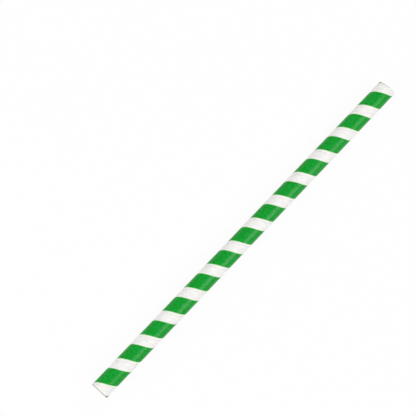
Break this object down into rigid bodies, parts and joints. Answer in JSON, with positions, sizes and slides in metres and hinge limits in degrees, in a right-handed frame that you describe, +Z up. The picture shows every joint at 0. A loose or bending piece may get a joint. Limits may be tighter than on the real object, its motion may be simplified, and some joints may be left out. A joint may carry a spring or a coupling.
{
  "type": "paper drinking straw",
  "caption": "Straight round drinking straw, a tube wound from glued paper ribbon, open at both cut ends, with a green spiral stripe on white.",
  "frame": {"origin": "on the surface that the straw lies on, under the middle of its length", "axes": "+X along the straw's length, +Z up from the surface, +Y to the straw's side"},
  "size_m": [0.216, 0.01, 0.01],
  "materials": {
    "printed_paper": "smooth uncoated paper, white with a green spiral stripe"
  },
  "bodies": {
    "root": {"straw_tube": "printed_paper"}
  },
  "joints": []
}
